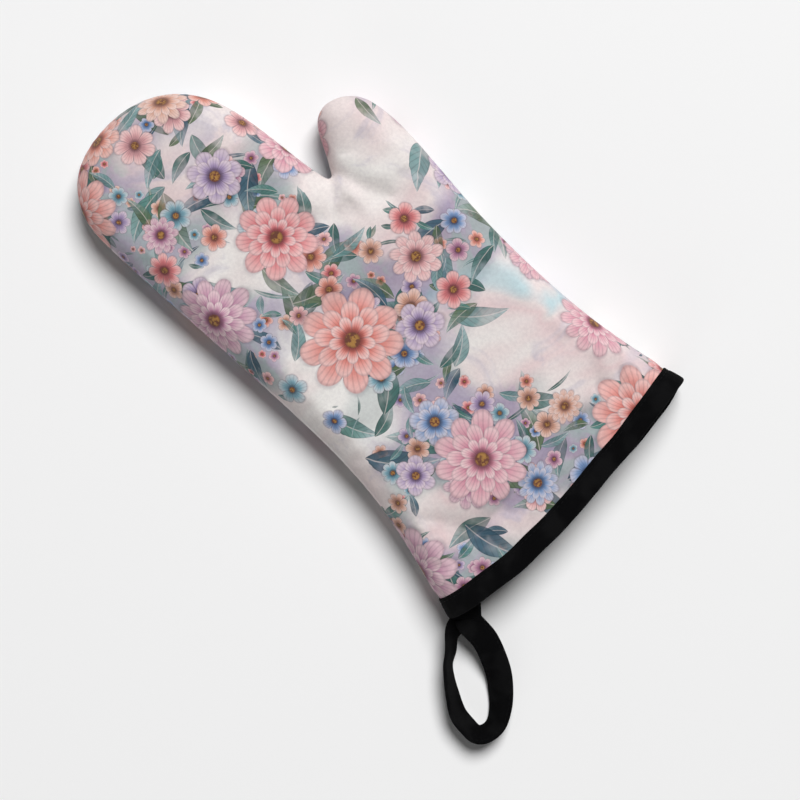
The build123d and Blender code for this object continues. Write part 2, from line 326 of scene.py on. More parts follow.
def layer(depth, side, folded=True):
    ring = len(rows) * count
    gap = gaps.copy()
    gap[:ring] = depth[:ring] + gaps[:ring] * (rows[-1] - depth[:ring]) / rows[-1]
    xy = flat.copy()
    xy[:ring] = flat[:ring] + np.tile(inward, (len(rows), 1)) * (gap - gaps)[:ring, None]
    cosine = np.clip((pad["edgeRound"] - gap) / (pad["edgeRound"] - depth), 0, 1)
    rise = (1 - cosine ** pad["fullness"]) ** (1 / pad["fullness"])
    xy[:, 1] += rimShift(xy[:, 0], rise, side) * (1 - smooth(fromCuff, *swell["rimFade"]))
    if side == "front":
        z = pad["seam"] + (frontDepth - depth + (lift + foldLift * folded) * rise) * rise
    else:
        z = pad["seam"] - (pad["back"] - depth) * rise
    return np.column_stack([xy, z])


def vertexNormals(points, polys):
    normals = np.zeros_like(points)
    for size, (a, b, c, d) in ((3, (0, 1, 0, 2)), (4, (0, 2, 1, 3))):   # two sides, or both diagonals
        ids = np.array([p for p in polys if len(p) == size])
        if len(ids):
            v = points[ids]
            n = np.cross(v[:, b] - v[:, a], v[:, d] - v[:, c])
            for k in range(size):
                np.add.at(normals, ids[:, k], n)
    return normals / np.maximum(np.linalg.norm(normals, axis=1), 1e-12)[:, None]


def built(name, points, polys, edges=()):
    mesh = bpy.data.meshes.new(name)
    mesh.from_pydata(points, edges, polys)
    return mesh


def keep(name, data):
    obj = bpy.data.objects.new(name, data)
    scene.collection.objects.link(obj)
    return obj


def worked(obj):   # with its modifiers carried out
    return obj.evaluated_get(bpy.context.evaluated_depsgraph_get())


def closedPanel(name, outer, inner, outerWay, innerWay, polys, uv, material):
    ids = sorted({v for p in polys for v in p})
    at = {v: k for k, v in enumerate(ids)}
    half = len(ids)
    edges = sidesOf(polys)
    shared = set(edges)
    openEdges = [(a, b) for a, b in edges if (b, a) not in shared]
    top = [tuple(at[v] for v in p) for p in polys]
    under = [tuple(half + at[v] for v in reversed(p)) for p in polys]
    sides = [(at[b], at[a], half + at[a], half + at[b]) for a, b in openEdges]
    mesh = built(name, np.vstack([outer[ids], inner[ids]]).tolist(), top + under + sides)
    corner = np.zeros(len(mesh.loops), np.int32)
    mesh.loops.foreach_get("vertex_index", corner)
    layerUv = mesh.uv_layers.new(name="panel")
    layerUv.data.foreach_set("uv", np.tile(uv[ids], (2, 1))[corner].astype(np.float32).ravel())
    mesh.polygons.foreach_set("use_smooth", [True] * len(mesh.polygons))
    ways = np.vstack([outerWay[ids], innerWay[ids]])[corner]
    for k in range(len(top) + len(under), len(mesh.polygons)):   # the cut edge keeps its own flat normals
        face = mesh.polygons[k]
        ways[face.loop_start:face.loop_start + face.loop_total] = face.normal
    mesh.normals_split_custom_set(ways.tolist())
    mesh.materials.append(material)
    mesh.update()
    return keep(name, mesh)


tree = None   # the node tree that the helpers below add to


def feed(socket, value):
    if hasattr(value, "is_output"):
        tree.links.new(value, socket)
    else:
        socket.default_value = value


def put(kind, inputs=(), **facts):
    node = tree.nodes.new("ShaderNode" + kind)
    for name, value in facts.items():
        setattr(node, name, value)
    for key, value in inputs.items() if isinstance(inputs, dict) else enumerate(inputs):
        feed(node.inputs[key], value)
    return node.outputs


def calc(operation, *values):
    return put("Math", values, operation=operation)[0]


def times(value, factor):
    return calc("MULTIPLY", value, factor)


def timesAdd(value, factor, more):
    return calc("MULTIPLY_ADD", value, factor, more)


def vec(operation, *values):
    return put("VectorMath", values, operation=operation)["Value" if operation == "LENGTH" else "Vector"]


def scaleBy(vector, amount):
    return put("VectorMath", {0: vector, "Scale": amount}, operation="SCALE")["Vector"]


def parted(vector):
    return put("SeparateXYZ", [vector])[:2]


def ramp(value, low, high, start=0.0, end=1.0):
    return put("MapRange", (value, low, high, start, end), interpolation_type="SMOOTHSTEP")[0]


def layOver(share, under, over, mode="MIX"):   # by number, as the colour sockets share their names
    return put("Mix", {0: share, 6: under, 7: over}, data_type="RGBA", blend_type=mode)[2]


def noise(vector, scale, detail=2.0, rough=0.5, warp=0.0, solid=False):
    inputs = {"Vector": vector, "Scale": scale, "Detail": detail, "Roughness": rough, "Distortion": warp}
    return put("TexNoise", inputs, noise_dimensions="3D" if solid else "2D")["Fac"]


def colours(value, stops, steps=False):
    outputs = put("ValToRGB", [value])
    colourRamp = outputs[0].node.color_ramp
    colourRamp.interpolation = "CONSTANT" if steps else "LINEAR"
    while len(colourRamp.elements) < len(stops):
        colourRamp.elements.new(0.5)
    for mark, (at, colour) in zip(colourRamp.elements, stops):
        mark.position = at
        mark.color = colour
    return outputs[0]


def dye(r, g, b):   # the light that a screen colour stands for
    return tuple(c / 3294.6 if c <= 10 else ((c / 255 + 0.055) / 1.055) ** 2.4 for c in (r, g, b)) + (1.0,)


def newCloth(name, roughness, sheen, gloss=0.25):
    global tree
    material = bpy.data.materials.new(name)
    material.use_nodes = True
    tree = material.node_tree
    shader = tree.nodes["Principled BSDF"]
    for socket, value in (("Roughness", roughness), ("Sheen Weight", sheen), ("Sheen Roughness", 0.6),
                          ("Specular IOR Level", gloss)):
        shader.inputs[socket].default_value = value
    return material, shader


def coat(shader, colour, height, distance):
    feed(shader.inputs["Base Color"], colour)
    bump = put("Bump", {"Strength": 1.0, "Distance": distance, "Height": height})
    feed(shader.inputs["Normal"], bump["Normal"])


def uvMm(layerName, span):
    return vec("MULTIPLY", put("UVMap", uv_map=layerName)["UV"], (span * 1000, span * 1000, 0.0))


def objectMm():
    return scaleBy(put("TexCoord")["Object"], 1000.0)


uvSpan = 0.42   # metres of cloth across the UV square
printDyes = {
    "ivory": dye(237, 234, 230), "blush": dye(231, 218, 216), "rosyGround": dye(229, 206, 206),
    "sky": dye(193, 214, 219), "lavenderGround": dye(188, 182, 197),
    "bigPetals": [dye(226, 124, 128), dye(216, 142, 162), dye(176, 150, 190), dye(218, 160, 136),
                  dye(228, 166, 168), dye(192, 134, 164), dye(226, 128, 116)],
    "petals": [dye(224, 126, 126), dye(122, 156, 200), dye(216, 162, 138), dye(172, 152, 190),
               dye(228, 170, 170), dye(190, 134, 162), dye(128, 176, 190), dye(222, 140, 120)],
    "leaves": [dye(56, 102, 96), dye(82, 130, 122), dye(56, 90, 108), dye(112, 148, 148), dye(90, 110, 80)],
    "leafShade": dye(56, 90, 108), "mist": dye(108, 144, 148), "dusk": dye(138, 126, 160),
    "gold": dye(168, 124, 66), "goldDark": dye(104, 62, 48),
    "shade": dye(104, 80, 112), "light": dye(244, 228, 224),
}
printPlan = {   # lengths in millimetres
    "shift": (5.0, 0.0, 0.0), "groundSpot": 85, "blotSpot": 42, "blotPlace": (210.0, 90.0, 0.0),
    "gatherSpot": 62, "gatherPlace": (-60.0, 309.0, 0.0),   # where the flowers gather
    "stray": 0.12,   # how far chance reaches past that
    "flower": {"loose": 0.82, "wobble": 0.24, "twist": 0.16, "size": (0.22, 0.74), "ringStep": 0.27,
               "ringTurn": 1.7, "scallop": 0.36, "streaks": 10.0, "heart": {1: 0.2, 2: 0.2, 3: 0.15}},
    "leaf": {"loose": 0.9, "bow": -0.16, "taper": (-0.3, 0.7), "veins": 24.0, "veinSlope": 1.3},
    "layers": [   # cell, seed, threshold, then a leaf's width, or a flower's petals, rings and dyes
        ("leaf", 44, 3, 0.38, 0.5),
        ("leaf", 26, 15, 0.42, 0.16),
        ("leaf", 33, 8, 0.39, 0.46),
        ("flower", 13, 5, 0.51, (5, 6), 1, "petals"),
        ("leaf", 24, 11, 0.42, 0.44),
        ("leaf", 38, 21, 0.40, 0.52),
        ("leaf", 29, 27, 0.41, 0.4),
        ("flower", 26, 2, 0.45, (5, 8), 1, "petals"),
        ("flower", 44, 6, 0.44, (6, 11), 2, "petals"),
        ("flower", 80, 9, 0.43, (8, 13), 3, "bigPetals"),
    ],
    "twill": 0.9, "bump": 0.000025,
}


def scatter(cloth, cell, seed, loose):
    shift = (seed * 1.37, seed * 0.73)
    at = vec("MULTIPLY_ADD", cloth, (1 / cell, 1 / cell, 0.0), (*shift, 0.0))
    inputs = {"Vector": at, "Scale": 1.0, "Randomness": loose}
    near, room = (put("TexVoronoi", inputs, voronoi_dimensions="2D", feature=feature)
                  for feature in ("F1", "N_SPHERE_RADIUS"))
    local = vec("SUBTRACT", at, near["Position"])
    spot = vec("MULTIPLY_ADD", near["Position"], (cell, cell, 0.0), (-shift[0] * cell, -shift[1] * cell, 0.0))
    return local, spot, put("SeparateColor", [near["Color"]])[:3], room["Radius"]


def thicket(spot):
    return noise(vec("ADD", spot, printPlan["gatherPlace"]), 1 / printPlan["gatherSpot"], 1.0)


def kept(spot, chance, threshold):
    field = timesAdd(chance, printPlan["stray"], thicket(spot))
    return calc("GREATER_THAN", field, threshold + printPlan["stray"] / 2)


def palette(draw, factor, tints):
    stops = [(k / len(tints), tint) for k, tint in enumerate(tints)]
    return colours(calc("FRACT", times(draw, factor)), stops, steps=True)


def washed(tone, washes):   # what each wash follows, from where to where, its share at both, dye and mix
    for value, low, high, start, end, word, mode in washes:
        tone = layOver(ramp(value, low, high, start, end), tone, printDyes[word], mode)
    return tone


def blossoms(cloth, under, cell, seed, threshold, petals, rings, tints):
    plan, dyes = printPlan["flower"], printDyes
    local, spot, (first, second, third), room = scatter(cloth, cell, seed, plan["loose"])
    across, up = parted(local)
    wobble = noise(cloth, 2.4 / cell, 2.0)
    far = times(vec("LENGTH", local), timesAdd(wobble, plan["wobble"], 1 - plan["wobble"] / 2))
    angle = timesAdd(wobble, plan["twist"], calc("ARCTAN2", up, across))
    size = times(calc("MINIMUM", room, 0.5), timesAdd(second, *plan["size"]))
    number = calc("FLOOR", timesAdd(third, petals[1] - petals[0] + 0.99, float(petals[0])))
    turn = timesAdd(first, 40.0, times(times(angle, number), 0.5))
    show = kept(spot, second, threshold)
    hue = palette(first, 7.13, dyes[tints])
    streak = calc("SINE", timesAdd(wobble, 9.0, times(turn, plan["streaks"])))
    out = under
    for k in range(rings):
        lobe = calc("ABSOLUTE", calc("COSINE", calc("ADD", turn, k * plan["ringTurn"])))
        reachOut = timesAdd(calc("POWER", lobe, 0.5), plan["scallop"], 1 - plan["scallop"])
        share = calc("DIVIDE", far, times(times(size, 1.0 - k * plan["ringStep"]), reachOut))
        cover = times(ramp(share, 0.965, 1.0, 1.0, 0.0), show)
        tone = washed(hue, [
            (share, 0.15, 0.75, 0.62, 0.0, "shade", "MULTIPLY"),
            (share, 0.45, 0.98, 0.0, 0.52 + 0.1 * k, "light", "MIX"),
            (lobe, 0.0, 0.3, 0.55, 0.0, "shade", "MULTIPLY"),
            (streak, 0.2, 1.0, 0.0, 0.2, "shade", "MULTIPLY"),
            (share, 0.9, 0.975, 0.0, 0.3, "shade", "MULTIPLY"),
        ])
        if k == 0:   # the outer petals darken the cloth beside them
            out = layOver(times(ramp(share, 0.97, 1.1, 0.3, 0.0), show), out, dyes["shade"], "MULTIPLY")
        out = layOver(times(cover, 0.96), out, tone)
    heart = calc("DIVIDE", far, times(size, plan["heart"][rings]))
    speck = noise(cloth, 26 / cell, 2.0)
    yolk = layOver(ramp(speck, 0.42, 0.6), dyes["gold"], dyes["goldDark"])
    yolk = layOver(ramp(heart, 0.6, 1.0, 0.0, 0.7), yolk, dyes["goldDark"])
    out = layOver(times(ramp(heart, 1.0, 1.9, 0.55, 0.0), show), out, dyes["goldDark"], "MULTIPLY")
    return layOver(times(ramp(heart, 0.9, 1.05, 1.0, 0.0), show), out, yolk)


def leaves(cloth, under, cell, seed, threshold, slim):
    plan = printPlan["leaf"]
    local, spot, (first, second, third), room = scatter(cloth, cell, seed, plan["loose"])
    turned = put("VectorRotate", {"Vector": local, "Angle": times(first, 6.283)}, rotation_type="Z_AXIS")[0]
    across, up = parted(turned)
    reachOut = times(calc("MINIMUM", room, 0.55), 0.98)
    run = calc("DIVIDE", across, reachOut)
    bowed = timesAdd(times(run, run), plan["bow"], calc("DIVIDE", up, reachOut))
    aside = calc("ABSOLUTE", bowed)
    full = calc("MAXIMUM", calc("SUBTRACT", 1.0, times(run, run)), 0.0001)
    share = calc("DIVIDE", aside, times(times(full, timesAdd(run, *plan["taper"])), slim))
    show = times(kept(spot, third, threshold), calc("LESS_THAN", calc("ABSOLUTE", run), 0.99))
    veins = calc("SINE", times(calc("SUBTRACT", run, times(aside, plan["veinSlope"])), plan["veins"]))
    tone = washed(palette(second, 5.3, printDyes["leaves"]), [
        (run, -0.2, 1.0, 0.0, 0.5, "sky", "MIX"),
        (bowed, -0.02, 0.02, 0.0, 0.3, "leafShade", "MULTIPLY"),
        (veins, 0.55, 1.0, 0.0, 0.3, "leafShade", "MULTIPLY"),
        (aside, 0.0, 0.03, 0.5, 0.0, "light", "MIX"),
        (share, 0.82, 0.98, 0.0, 0.35, "leafShade", "MULTIPLY"),
    ])
    strength = times(ramp(noise(cloth, 3.0 / cell, 2.0), 0.3, 0.6, 0.6, 0.95), show)
    return layOver(times(ramp(share, 0.95, 1.0, 1.0, 0.0), strength), under, tone)


printedCloth, shader = newCloth("printedCloth", 0.8, 0.1)
cloth = vec("SUBTRACT", uvMm("panel", uvSpan), printPlan["shift"])
broad = noise(cloth, 1 / printPlan["groundSpot"], 3.0, 0.55, 0.5)
groundStops = ((0.3, "ivory"), (0.44, "blush"), (0.55, "rosyGround"), (0.62, "blush"), (0.72, "sky"))
ground = colours(broad, [(at, printDyes[word]) for at, word in groundStops])
blot = noise(vec("ADD", cloth, printPlan["blotPlace"]), 1 / printPlan["blotSpot"], 4.0, 0.6, 0.8)
ground = layOver(ramp(blot, 0.52, 0.72, 0.0, 0.6), ground, printDyes["lavenderGround"])
haze = layOver(ramp(blot, 0.42, 0.58), printDyes["mist"], printDyes["dusk"])
paint = layOver(ramp(thicket(cloth), 0.42, 0.60, 0.0, 0.68), ground, haze)
for kind, *facts in printPlan["layers"]:
    paint = (leaves if kind == "leaf" else blossoms)(cloth, paint, *facts)
granule = noise(cloth, 0.5, 4.0, 0.65)
paint = layOver(ramp(granule, 0.3, 0.7, 0.1, 0.0), paint, printDyes["shade"], "MULTIPLY")
across, up = parted(scaleBy(cloth, 2 * math.pi / printPlan["twill"]))
warp = calc("SINE", calc("ADD", across, up))
weft = calc("SINE", calc("SUBTRACT", times(up, 2.0), across))
coat(shader, paint, timesAdd(weft, 0.5, warp), printPlan["bump"])

padding, shader = newCloth("padding", 0.95, 0.2)
fibre = noise(objectMm(), 0.7, 5.0, 0.7, 1.5, solid=True)
coat(shader, layOver(ramp(fibre, 0.3, 0.7), dye(206, 203, 196), dye(236, 235, 230)), fibre, 0.0006)

liningCloth, shader = newCloth("liningCloth", 0.9, 0.08)
cloth = uvMm("panel", uvSpan)
across, up = parted(scaleBy(cloth, 2 * math.pi / 0.8))
weave = times(calc("SINE", across), calc("SINE", up))
slub = noise(vec("MULTIPLY", cloth, (0.05, 1.1, 0.0)), 1.0, 3.0)
tone = layOver(ramp(slub, 0.35, 0.65), dye(204, 199, 190), dye(218, 214, 206))
tone = layOver(ramp(weave, -0.6, 0.6, 0.14, 0.0), tone, dye(150, 144, 134), "MULTIPLY")
coat(shader, tone, timesAdd(slub, 0.6, weave), 0.00006)

tapeSpan = 0.5   # metres of tape across its UV square
blackTape, shader = newCloth("blackTape", 0.88, 0.0, gloss=0.04)
cloth = uvMm("tape", tapeSpan)
across, up = parted(scaleBy(cloth, 2 * math.pi / 0.75))
rib = calc("SINE", calc("ADD", across, up))
yarn = calc("SINE", timesAdd(up, 2.0, times(across, -1.0)))
tone = layOver(ramp(rib, -0.5, 0.8), dye(4, 4, 5), dye(12, 12, 13))
lint, faded = noise(cloth, 0.9, 4.0, 0.7), noise(cloth, 0.06, 2.0)
tone = layOver(ramp(lint, 0.62, 0.8, 0.0, 0.2), tone, dye(34, 33, 34))
tone = layOver(ramp(faded, 0.4, 0.68, 0.0, 0.6), tone, dye(24, 24, 25))
coat(shader, tone, timesAdd(yarn, 0.4, rib), 0.00009)

blackThread, shader = newCloth("blackThread", 0.7, 0.0, gloss=0.08)
ply = put("TexWave", {"Vector": objectMm(), "Scale": 1.4}, bands_direction="DIAGONAL")["Fac"]
coat(shader, layOver(ply, dye(3, 3, 4), dye(11, 11, 12)), ply, 0.00008)

# outer skin: front and back joined at the seam, pushed out by the padding, then parted again
skin = {
    "tuck": 0.0011,            # how far the cloth is drawn in under the tape
    "cloth": 0.0009, "frames": 20, "mostMove": 0.0034,
    "rules": {
        "quality": 6, "mass": 0.25, "pin_stiffness": 1, "air_damping": 3,
        "tension_stiffness": 18, "compression_stiffness": 18, "shear_stiffness": 8, "bending_stiffness": 14.0,
        "tension_damping": 8, "compression_damping": 8, "shear_damping": 8,
        "use_pressure": True, "uniform_pressure_force": 1.4, "shrink_min": -0.022,   # below nought is slack
    },
    "heldCuff": (0.016, 0.03), "heldSeam": (0.0, 0.010),
    "notchEase": 0.3, "notchFade": (0.004, 0.03),   # the notch has no room for all of the edge's cloth
    "pucker": 0.00010, "puckerPitch": 0.0083, "puckerWander": (2.1, 0.019), "puckerFade": 0.006,
    "puckerRun": (0.0002, 0.0012, 0.0121), "groove": 0.00015, "grooveRun": (0.0001, 0.0007),
    "clearCuff": (0.014, 0.03),
    "uvPlace": {"front": (1, 0.105, 0.145), "back": (-1, 0.312, 0.145)},   # which way round, and from where
    "slot": "printed_cloth", "node": "shell", "material": printedCloth, "fill": 0.55,
}
shellDepth = atCuff(0.0, skin["tuck"])


def clothPlan(high):   # the panel laid out flat, with the cloth that runs down its rounded edge
    share = np.linspace(0, 1, 400) ** 2
    cosine = 1 - share * rows[-1] / pad["edgeRound"]
    rise = high * (1 - cosine ** pad["fullness"]) ** (1 / pad["fullness"])
    surface = lengths(np.column_stack([share * rows[-1], rise]))
    spare = surface[-1] - np.interp(rows, share * rows[-1], surface) - (rows[-1] - rows)
    ease = skin["notchEase"] + (1 - skin["notchEase"]) * smooth(abs(stations - notchRun), *skin["notchFade"])
    plan = flat.copy()
    outward = np.tile(inward * ease[:, None], (len(rows), 1)) * np.repeat(spare, count)[:, None]
    plan[:len(rows) * count] -= outward
    return plan


def bothSides(values):   # the back shares the seam's own points with the front
    return np.concatenate([values, values[count:]])


backId = np.concatenate([np.arange(count), total + np.arange(total - count)])
skinPts = np.vstack([layer(shellDepth, "front", folded=False), layer(shellDepth, "back")[count:]])
skinFaces = list(faces) + [tuple(int(backId[v]) for v in reversed(f)) for f in faces]
skinTag = np.concatenate([np.where(thumbFace, 1, 0), np.where(thumbFace, 3, 2)])


def pushedOut(points, polys, held):
    mesh = built("skinTrial", points.tolist(), polys)
    trial = keep("skinTrial", mesh)
    group = trial.vertex_groups.new(name="held")
    for v, weight in enumerate(held):
        if weight > 0.001:
            group.add([v], float(weight), "REPLACE")
    cloth = trial.modifiers.new("cloth", "CLOTH")
    for rule, value in skin["rules"].items():
        setattr(cloth.settings, rule, value)
    cloth.settings.vertex_group_mass = "held"
    cloth.settings.effector_weights.gravity = 0
    cloth.collision_settings.use_collision = False
    for f in range(1, skin["frames"] + 1):
        scene.frame_set(f)
    done = worked(trial).to_mesh()
    result = np.array([v.co[:] for v in done.vertices], float)
    bpy.data.objects.remove(trial)
    bpy.data.meshes.remove(mesh)
    scene.frame_set(1)
    return result


held = np.maximum(1 - smooth(bothSides(fromCuff), *skin["heldCuff"]),
                  1 - smooth(bothSides(gaps), *skin["heldSeam"]))
moved = pushedOut(skinPts, skinFaces, held) - skinPts
far = np.maximum(np.linalg.norm(moved, axis=1), 1e-9)[:, None]
print("padding pushed the cloth by up to", round(float(far.max()) * 1000, 2), "mm")
skinPts = skinPts + moved / far * skin["mostMove"] * np.tanh(far / skin["mostMove"])

mesh = built("skinWhole", skinPts.tolist(), skinFaces)
plans = {"flat": flat, "front": clothPlan(pad["front"]), "back": clothPlan(pad["back"])}
carried = {word + axis: plan[:, k] for word, plan in plans.items() for k, axis in enumerate("XY")}
for name, values in {**carried, "gap": gaps, "along": along}.items():
    attribute = mesh.attributes.new(name, "FLOAT", "POINT")
    attribute.data.foreach_set("value", bothSides(values).astype(np.float32))
mesh.polygons.foreach_set("material_index", skinTag.astype(np.int32))
whole = keep("skinWhole", mesh)
finer = whole.modifiers.new("finer", "SUBSURF")
finer.levels = finer.render_levels = 1
finer.boundary_smooth = "PRESERVE_CORNERS"
fineMesh = bpy.data.meshes.new_from_object(worked(whole))


def carriedOver(name):
    values = np.zeros(len(fineMesh.vertices), np.float32)
    fineMesh.attributes[name].data.foreach_get("value", values)
    return values.astype(float)


finePlan = {word: np.column_stack([carriedOver(word + axis) for axis in "XY"]) for word in plans}
fineFlat, fineGap, fineAlong = finePlan["flat"], carriedOver("gap"), carriedOver("along")
finePts = np.array([v.co[:] for v in fineMesh.vertices], float)
fineFaces = [tuple(p.vertices) for p in fineMesh.polygons]
fineTag = np.array([p.material_index for p in fineMesh.polygons])
bpy.data.objects.remove(whole)
normals = vertexNormals(finePts, fineFaces)
finePts[:, 2] += folds(fineFlat) * np.clip(normals[:, 2], 0, 1) ** 2
normals = vertexNormals(finePts, fineFaces)
openRun = smooth(fineFlat[:, 1] - cuffCurve(fineFlat[:, 0]), *skin["clearCuff"])
swing, wander = skin["puckerWander"]
wave = np.sin(2 * np.pi * fineAlong / skin["puckerPitch"] + swing * np.sin(fineAlong / wander))
puckerFrom, puckerFull, puckerEnd = skin["puckerRun"]
pucker = skin["pucker"] * wave * np.exp(-fineGap / skin["puckerFade"])
pucker = pucker * smooth(fineGap, puckerFrom, puckerFull) * (fineGap < puckerEnd)
groove = -skin["groove"] * (1 - smooth(fineGap, *skin["grooveRun"]))
finePts = finePts + normals * ((pucker + groove) * openRun)[:, None]
finePts[:, 2] = np.maximum(finePts[:, 2], 0.0)
normals = vertexNormals(finePts, fineFaces)
liningPts = finePts - normals * skin["cloth"]


def layIn(word, side, isThumb, facts, outer, inner, outerWay, innerWay, polys, uv):
    name = f"{side}_{'thumb' if isThumb else 'hand'}_{word}"
    piece = closedPanel(name, outer, inner, outerWay, innerWay, polys, uv, facts["material"])
    sections = ("thumb",) if isThumb else ("palm", "fingers")
    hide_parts(*[f"{side}_{facts['node']}_{section}" for section in sections])
    if isThumb:
        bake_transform(piece)
    else:
        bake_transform(piece)


for tag, (side, isThumb) in enumerate((("front", False), ("front", True), ("back", False), ("back", True))):
    polys = [f for f, t in zip(fineFaces, fineTag) if t == tag]
    turned, *start = skin["uvPlace"][side]
    uv = (finePlan[side] * np.array([turned, 1]) + np.array(start)) / uvSpan
    layIn("shell", side, isThumb, skin, finePts, liningPts, normals, -normals, polys, uv)
print("outer cloth parted into front and back")

# padding and lining inside it
innerLayers = {
    "padding": {"slot": "batting", "node": "batting", "material": padding, "fill": 0.5,
                "outer": (0.0036, 0.0022), "inner": (0.0070, 0.0047)},   # depth, and depth under the tape
    "lining": {"slot": "lining_cloth", "node": "lining", "material": liningCloth, "fill": 0.5,
               "outer": (0.0072, 0.0049), "inner": (0.0080, 0.0057)},
}
flatUv = (flat + np.array([0.100, 0.145])) / uvSpan
for word, facts in innerLayers.items():
    for side in ("front", "back"):
        outer, inner = (layer(atCuff(*facts[face]), side) for face in ("outer", "inner"))
        wound = faces if side == "front" else [f[::-1] for f in faces]
        outerWay, innerWay = vertexNormals(outer, wound), -vertexNormals(inner, wound)
        for isThumb in (False, True):
            polys = [f for f, t in zip(wound, thumbFace) if t == isThumb]
            layIn(word, side, isThumb, facts, outer, inner, outerWay, innerWay, polys, flatUv)
print("padding and lining laid in")

# black binding: one tape folded over the rim, all round the mouth
binding = {
    "section": [   # distance from the rim, depth below the outer face, in millimetres
        (13.2, 0.55), (12.9, 0.12), (12.2, 0.0), (11.5, 0.16), (11.0, 0.34), (10.5, 0.18), (9.4, -0.12),
        (7, -0.28), (4, -0.32), (1.8, -0.22), (0.7, 0.15), (0.15, 0.9), (-0.1, 2.0), (-0.15, 3.4),
        (-0.1, 4.8), (0.15, 5.9), (0.7, 6.65), (1.8, 7.0), (4, 7.1), (7, 7.06), (9.4, 6.92), (10.5, 6.6),
        (11.0, 6.46), (11.5, 6.62), (12.2, 6.8), (12.9, 6.7), (13.2, 6.3), (12.8, 5.95), (8, 6.0),
        (2.4, 5.9), (1.0, 5.2), (0.75, 3.4), (1.0, 1.7), (2.4, 1.0), (8, 0.92), (12.8, 0.9),
    ],
    "roundSteps": 9, "flatSteps": 60,
    "sideTilt": 0.96,   # cosine of the flared sides at the cuff
    "sway": 0.00018, "slowWave": 0.011, "quickWave": 0.0047, "quickShare": 0.8,
}


def sideX(y):
    found = []
    for side in (fine[:len(fine) // 4], fine[-len(fine) // 4:][::-1]):
        longer = np.vstack([side[0] + (side[0] - side[8]) * 6, side])   # carried on past the cuff's corner
        found.append(np.interp(y, longer[:, 1], longer[:, 0]))
    return found


def mouthRing(distance, depth):
    phi = np.linspace(0, math.pi / 2, binding["roundSteps"])
    gap = (pad["edgeRound"] - (pad["edgeRound"] - depth) * np.cos(phi)) / binding["sideTilt"]
    high = (1 - np.cos(phi) ** pad["fullness"]) ** (1 / pad["fullness"])
    flatRun = np.linspace(0, 1, binding["flatSteps"] + 2)[1:-1]
    lx, rx = sideX(pad["cuffLine"] + distance)
    xs = np.concatenate([lx + gap, np.zeros(len(flatRun)), (rx - gap)[::-1]])
    xs[len(phi):-len(phi)] = xs[len(phi) - 1] + (xs[-len(phi)] - xs[len(phi) - 1]) * flatRun
    hs = np.concatenate([high, np.ones(len(flatRun)), high[::-1]])
    ys = cuffCurve(xs) + distance
    top = np.column_stack([xs, ys + rimShift(xs, hs, "front"), pad["seam"] + (pad["cuffFront"] - depth) * hs])
    low = np.column_stack([xs, ys + rimShift(xs, hs, "back"), pad["seam"] - (pad["back"] - depth) * hs])
    return np.vstack([top, low[-2:0:-1]])


def sway(ring):
    onFront = ring[:, 2] > pad["seam"]
    slow = np.sin(ring[:, 0] / binding["slowWave"] + 0.7)
    quick = np.sin(ring[:, 0] / binding["quickWave"] + 2.0 * onFront)
    return binding["sway"] * (slow + binding["quickShare"] * quick)


def tapeMesh(name, lines, closedAlong=True):
    block = np.array(lines)
    across, around = block.shape[:2]
    acrossAt = lengths(np.vstack([block[:, 0], block[:1, 0]])) / tapeSpan
    aroundAt = lengths(np.vstack([block[0], block[0, :1]])) / tapeSpan
    quads, uvs = [], []
    for a in range(across):
        for r in range(around if closedAlong else around - 1):
            corners = [(a, r), (a, r + 1), (a + 1, r + 1), (a + 1, r)]
            quads.append([(p % across) * around + q % around for p, q in corners])
            uvs += [(aroundAt[q], acrossAt[p]) for p, q in corners]
    if not closedAlong:   # the tape's two cut ends
        quads.append([p * around for p in range(across)])
        uvs += [(0.0, acrossAt[p]) for p in range(across)]
        quads.append([p * around + around - 1 for p in reversed(range(across))])
        uvs += [(aroundAt[-2], acrossAt[p]) for p in reversed(range(across))]
    mesh = built(name, block.reshape(-1, 3).tolist(), quads)
    mesh.uv_layers.new(name="tape").data.foreach_set("uv", np.array(uvs, np.float32).ravel())
    mesh.polygons.foreach_set("use_smooth", [True] * len(mesh.polygons))
    mesh.materials.append(blackTape)
    mesh.update()
    if sum(f.center.dot(f.normal) * f.area for f in mesh.polygons) < 0:   # faces point outwards
        mesh.flip_normals()
    return keep(name, mesh)


bindingRings = []
for distance, depth in binding["section"]:
    ring = mouthRing(distance / 1000, depth / 1000)
    ring[:, 1] += sway(ring)
    ring[:, 2] = np.maximum(ring[:, 2], 0.0)
    bindingRings.append(ring)
piece = tapeMesh("cuff_binding_tape", bindingRings)
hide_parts("cuff_binding")
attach(piece, "palm")
print("binding folded over the rim")

# hanging loop and the ends sewn inside the cuff corner
hangLoop = {
    "root": (-0.0872, -0.1383), "heading": 227, "width": 0.015, "thick": 0.0016,
    "stations": [   # millimetres along, across, height, and the tape's tilt in degrees
        (-1.7, -1.6, 12.2, 0), (0.8, -2.4, 11.9, 10), (4.2, -6, 11.2, 44), (9.5, -8.2, 10.2, 63),
        (16.5, -9, 9.4, 67), (24, -10.8, 8.8, 72), (32, -10.5, 8.3, 69), (41.5, -9, 7.9, 61),
        (49, -7.4, 7.5, 55), (53, -5.8, 7.2, 53), (59.4, -1, 7, 53), (62.6, 2, 6.9, 54),
        (63.8, 5.4, 6.8, 55), (62.2, 10.4, 6.6, 54), (58, 14.6, 6.2, 48), (49.5, 17.3, 5.4, 38),
        (41.5, 17.9, 4.6, 27), (31, 17.2, 5.6, 17), (20.5, 14.3, 9, 13), (10.5, 10, 12.2, 9),
        (4.2, 5.0, 13.5, 4), (0.8, 2.0, 13.9, 0), (-1.7, 1.4, 13.8, 0),
    ],
    "tiltReach": 0.01,   # one radian of tilt counts as this length along the path
}
